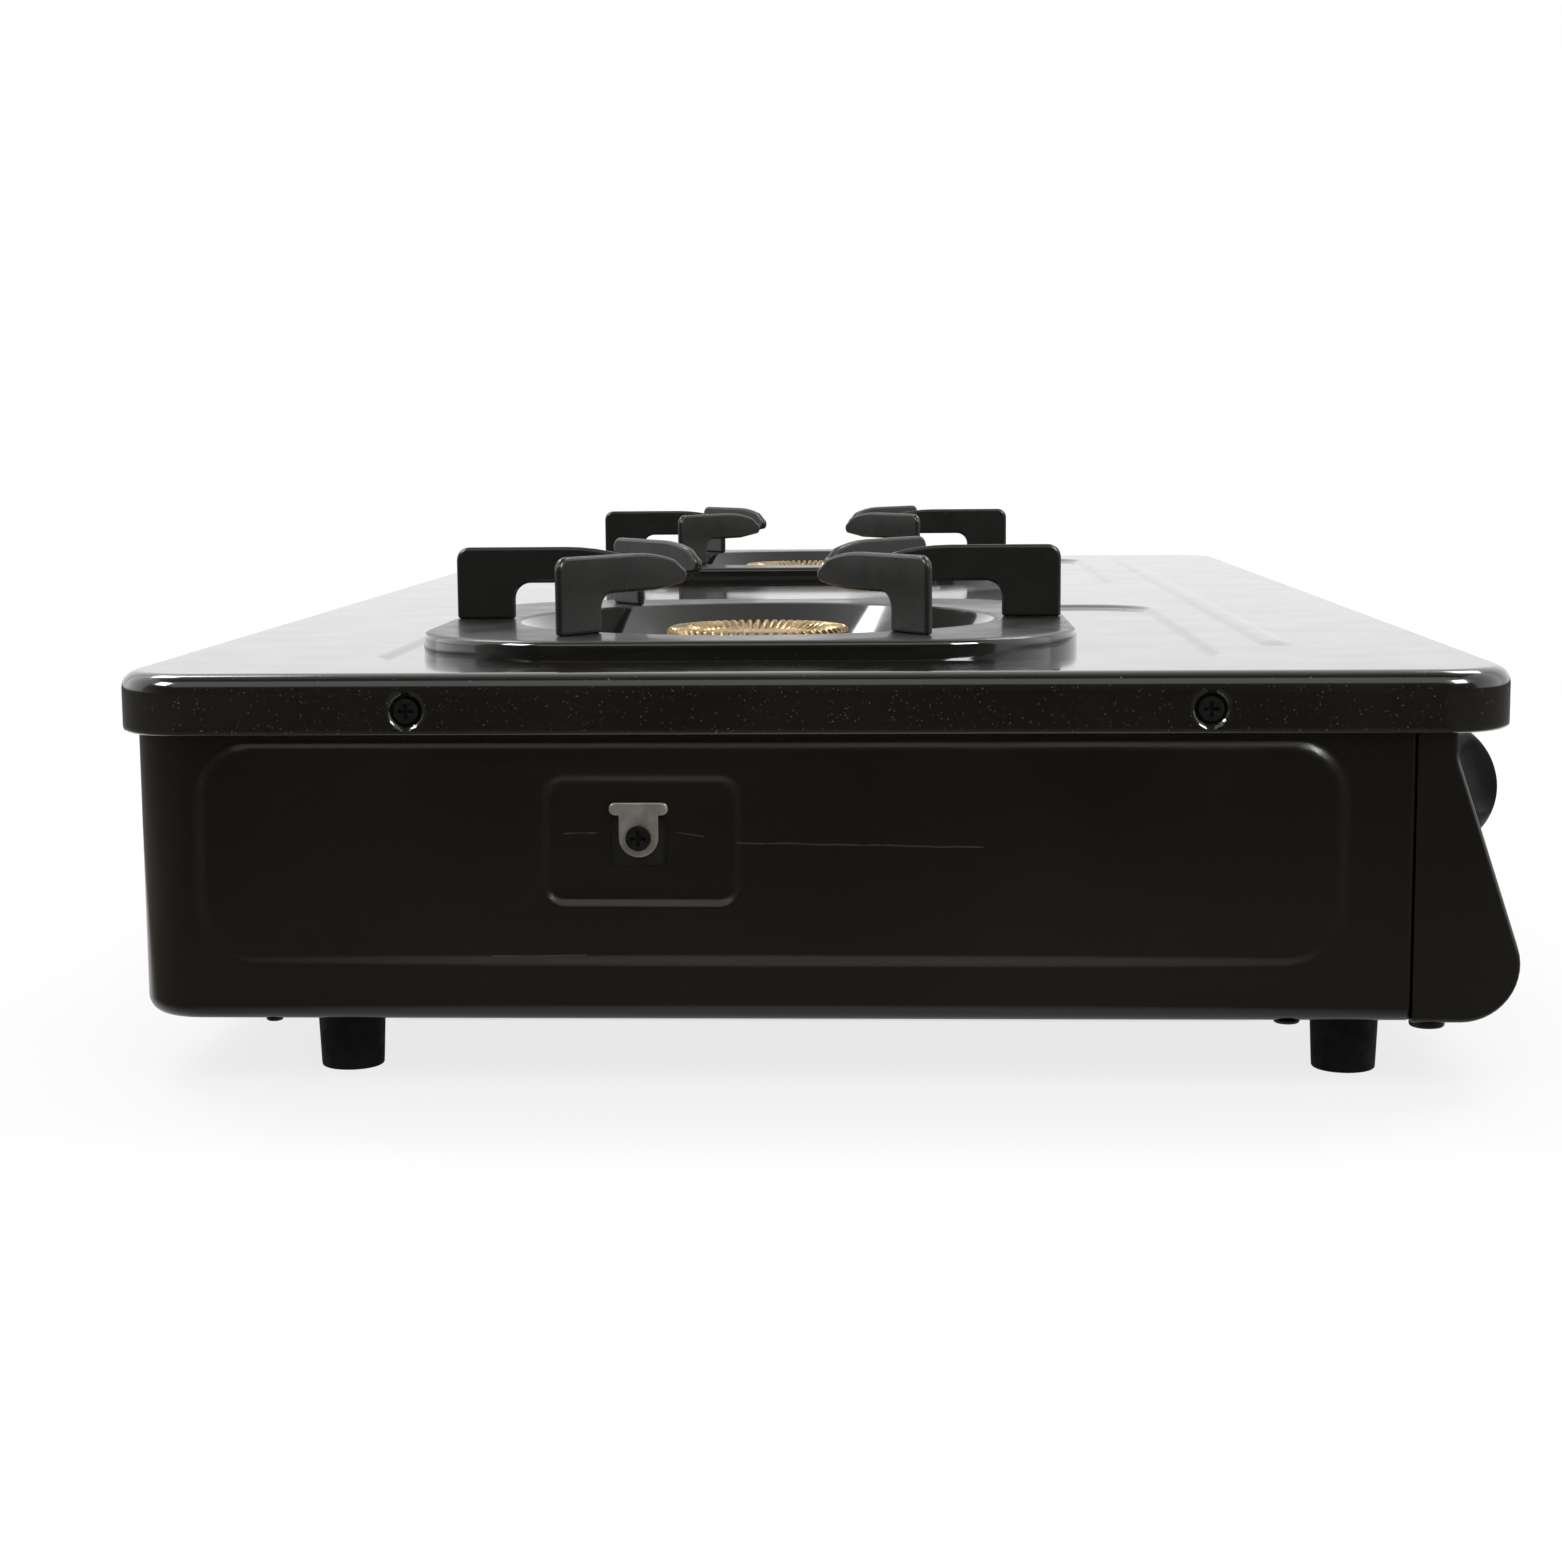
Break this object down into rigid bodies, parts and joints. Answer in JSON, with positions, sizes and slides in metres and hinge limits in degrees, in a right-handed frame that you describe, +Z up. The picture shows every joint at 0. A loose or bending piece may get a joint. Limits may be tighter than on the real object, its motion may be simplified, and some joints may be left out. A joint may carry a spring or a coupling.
{
  "type": "two-burner gas stove",
  "caption": "Table-top gas stove: enamelled steel top with finger pan supports over brass burners, sloping front panel with push-and-turn knobs, rubber feet.",
  "frame": {"origin": "on the table under the middle of the stove's box", "axes": "+X along the stove to the cook's right, +Y from the front to the back, +Z up"},
  "size_m": [0.7, 0.4306, 0.1421],
  "materials": {
    "enamel": "gloss enamel with fine pale specks",
    "pan_enamel": "satin enamel",
    "casing": "satin paint",
    "front_paint": "satin paint",
    "rubber": "matt",
    "plain_steel": "zinc plated",
    "black_screws": "blackened",
    "cast_metal": "rough cast",
    "brass": "turned and milled",
    "black_plastic": "gloss",
    "ceramic": "glazed"
  },
  "bodies": {
    "stove": {"top_plate": "enamel", "left_side_panel": "casing", "right_side_panel": "casing", "back_panel": "casing", "base_pan": "casing", "front_panel": "front_paint", "front_left_foot": "rubber", "front_right_foot": "rubber", "rear_left_foot": "rubber", "rear_right_foot": "rubber", "foot_screws": "plain_steel", "rim_screws": "black_screws", "tab_screws": "black_screws", "back_screws": "black_screws", "panel_screws": "black_screws", "burner_bolts": "plain_steel", "gas_rail": "plain_steel", "rail_posts": "plain_steel", "hose_nozzle": "brass", "inlet_nut": "brass", "left_clip_plate": "plain_steel", "left_burner_bracket": "plain_steel", "left_pan_plate": "pan_enamel", "left_pan_fingers": "pan_enamel", "left_burner_body": "cast_metal", "left_burner_cap": "brass", "left_electrode": "ceramic", "left_injector": "brass", "left_tap_body": "brass", "left_igniter": "black_plastic", "left_return_spring": "plain_steel", "left_bezel": "plain_steel", "right_clip_plate": "plain_steel", "right_burner_bracket": "plain_steel", "right_pan_plate": "pan_enamel", "right_pan_fingers": "pan_enamel", "right_burner_body": "cast_metal", "right_burner_cap": "brass", "right_electrode": "ceramic", "right_injector": "brass", "right_tap_body": "brass", "right_igniter": "black_plastic", "right_return_spring": "plain_steel", "right_bezel": "plain_steel"},
    "left_push": {"left_thrust_washer": "plain_steel"},
    "left_knob": {"left_knob": "black_plastic", "left_spindle": "plain_steel"},
    "left_shutter": {"left_air_shutter": "plain_steel"},
    "right_push": {"right_thrust_washer": "plain_steel"},
    "right_knob": {"right_knob": "black_plastic", "right_spindle": "plain_steel"},
    "right_shutter": {"right_air_shutter": "plain_steel"}
  },
  "joints": [
    {"name": "left_knob_push", "type": "slide", "parent": "stove", "child": "left_push", "axis": [0, 0.95, -0.3123], "range_m": [0, 0.003], "stiffness_N_per_m": 800, "springref_m": -0.004, "deforming": ["left_return_spring"]},
    {"name": "left_knob_turn", "type": "hinge", "parent": "left_push", "child": "left_knob", "pos_m": [-0.212, -0.1814, 0.062], "axis": [0, -0.95, 0.3123], "range_deg": [0, 180]},
    {"name": "left_air_adjust", "type": "hinge", "parent": "stove", "child": "left_shutter", "pos_m": [-0.212, -0.1189, 0.05263], "axis": [0, 1, 0], "range_deg": [0, 60]},
    {"name": "right_knob_push", "type": "slide", "parent": "stove", "child": "right_push", "axis": [0, 0.95, -0.3123], "range_m": [0, 0.003], "stiffness_N_per_m": 800, "springref_m": -0.004, "deforming": ["right_return_spring"]},
    {"name": "right_knob_turn", "type": "hinge", "parent": "right_push", "child": "right_knob", "pos_m": [0.212, -0.1814, 0.062], "axis": [0, -0.95, 0.3123], "range_deg": [0, 180]},
    {"name": "right_air_adjust", "type": "hinge", "parent": "stove", "child": "right_shutter", "pos_m": [0.212, -0.1189, 0.05263], "axis": [0, 1, 0], "range_deg": [0, 60]}
  ]
}
